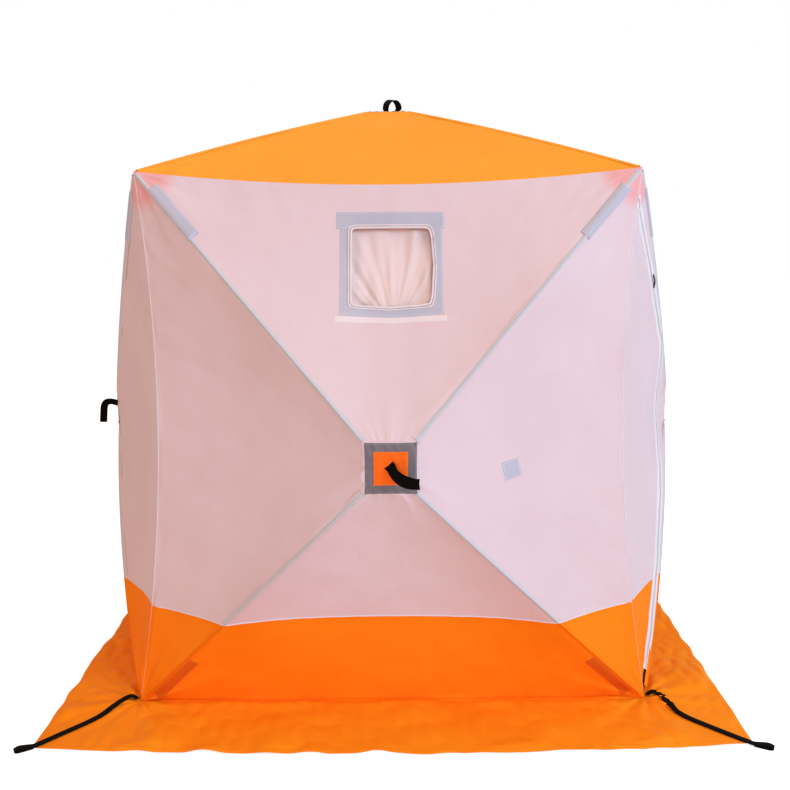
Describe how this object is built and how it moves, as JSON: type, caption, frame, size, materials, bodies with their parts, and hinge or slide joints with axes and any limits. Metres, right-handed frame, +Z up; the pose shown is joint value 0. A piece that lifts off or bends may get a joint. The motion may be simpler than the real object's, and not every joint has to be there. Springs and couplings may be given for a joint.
{
  "type": "pop-up ice fishing hut",
  "caption": "Square pop-up fabric hut sprung outwards by hubs and bent rods, with a pale upper wall, an orange base, roof and snow skirt, and a curved zip door.",
  "frame": {"origin": "on the floor under the middle of the hut", "axes": "+Z up, the wall with the loop patch faces -Y, the door is in the +X wall"},
  "size_m": [2.4832, 2.4832, 2.154],
  "materials": {
    "white_cloth": "taut coated polyester, pale pinkish white",
    "orange_cloth": "taut coated polyester, orange",
    "grey_cloth": "coarse woven nylon patch, grey",
    "grey_webbing": "sewn-on hook and loop tape, pale grey",
    "clear_film": "clear flexible film, drawn as glass",
    "zip_tape": "white zip tape and coil",
    "black_webbing": "woven strap, black",
    "black_nylon": "moulded nylon",
    "fibreglass": "pultruded rod"
  },
  "bodies": {
    "root": {"front_wall_upper": "white_cloth", "front_wall_lower": "orange_cloth", "right_wall_upper": "white_cloth", "right_wall_lower": "orange_cloth", "back_wall_upper": "white_cloth", "back_wall_lower": "orange_cloth", "left_wall_upper": "white_cloth", "left_wall_lower": "orange_cloth", "front_window_frame": "grey_webbing", "front_window_film": "clear_film", "front_window_blind": "white_cloth", "back_window_frame": "grey_webbing", "back_window_film": "clear_film", "back_window_blind": "white_cloth", "door_upper": "white_cloth", "door_lower": "orange_cloth", "door_zip": "zip_tape", "door_zip_pull": "black_webbing", "roof": "orange_cloth", "hub_patches": "grey_cloth", "upper_rod_end_strips": "grey_webbing", "lower_rod_end_strips": "orange_cloth", "front_loop_patch": "grey_webbing", "front_skirt": "orange_cloth", "right_skirt": "orange_cloth", "back_skirt": "orange_cloth", "left_skirt": "orange_cloth", "front_rods": "fibreglass", "front_hub": "black_nylon", "front_pull_strap": "black_webbing", "right_rods": "fibreglass", "right_hub": "black_nylon", "right_pull_strap": "black_webbing", "back_rods": "fibreglass", "back_hub": "black_nylon", "back_pull_strap": "black_webbing", "left_rods": "fibreglass", "left_hub": "black_nylon", "left_pull_strap": "black_webbing", "roof_rods": "fibreglass", "roof_hub": "black_nylon", "roof_pull_strap": "black_webbing", "upper_corner_joints": "black_nylon", "lower_corner_joints": "black_nylon", "corner_peg_straps": "black_webbing"}
  },
  "joints": []
}
